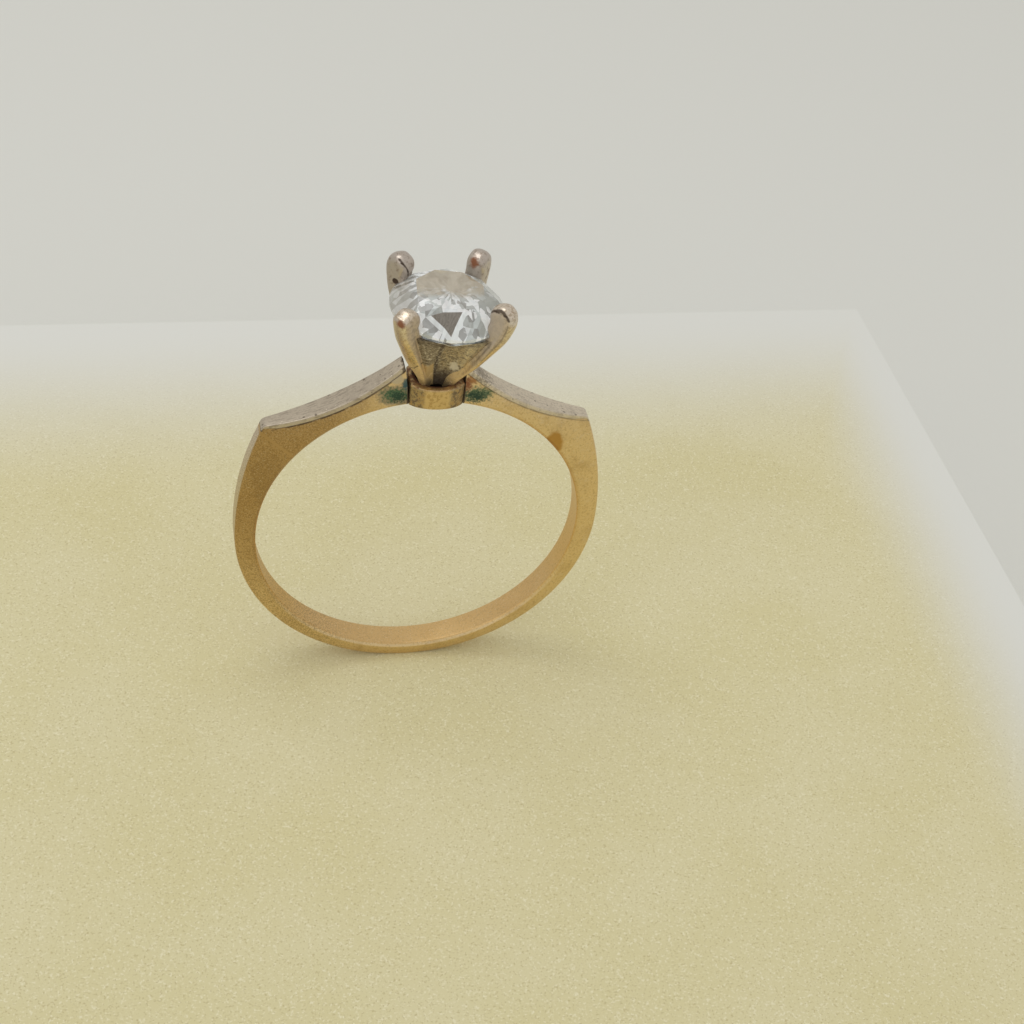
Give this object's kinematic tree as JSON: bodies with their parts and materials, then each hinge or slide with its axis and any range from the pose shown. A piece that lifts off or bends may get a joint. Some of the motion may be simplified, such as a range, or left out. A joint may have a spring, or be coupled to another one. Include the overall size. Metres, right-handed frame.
{
  "type": "engagement ring",
  "caption": "Solitaire ring: square-shouldered gold hoop with dished white gold shoulder tops, oval under-collet, claw-set fluted head and round brilliant stone.",
  "frame": {"origin": "centre of the finger hole, in the hoop's middle plane", "axes": "+Z from the finger hole's centre to the head, +Y along the finger hole's axis away from the viewer, -Y is the front, +X to the right"},
  "size_m": [0.019, 0.0058, 0.0247],
  "materials": {
    "yellow_gold": "worn satin yellow gold, tarnished brown in places",
    "white_gold": "scratched white gold plate",
    "gold_solder": "brown-tarnished solder",
    "collet_gold": "worn gold with green and brown grime at the joints",
    "cup_gold": "rough dark-grimed cast gold",
    "claw_gold": "polished pale gold, worn at the tips",
    "stone": "clear faceted stone"
  },
  "bodies": {
    "root": {"shank": "yellow_gold", "left_shoulder": "yellow_gold", "right_shoulder": "yellow_gold", "left_shoulder_plate": "white_gold", "right_shoulder_plate": "white_gold", "left_solder_seam": "gold_solder", "right_solder_seam": "gold_solder", "under_collet": "collet_gold", "head_cup": "cup_gold", "claw_front_left": "claw_gold", "claw_front_right": "claw_gold", "claw_back_left": "claw_gold", "claw_back_right": "claw_gold", "round_brilliant": "stone"}
  },
  "joints": []
}
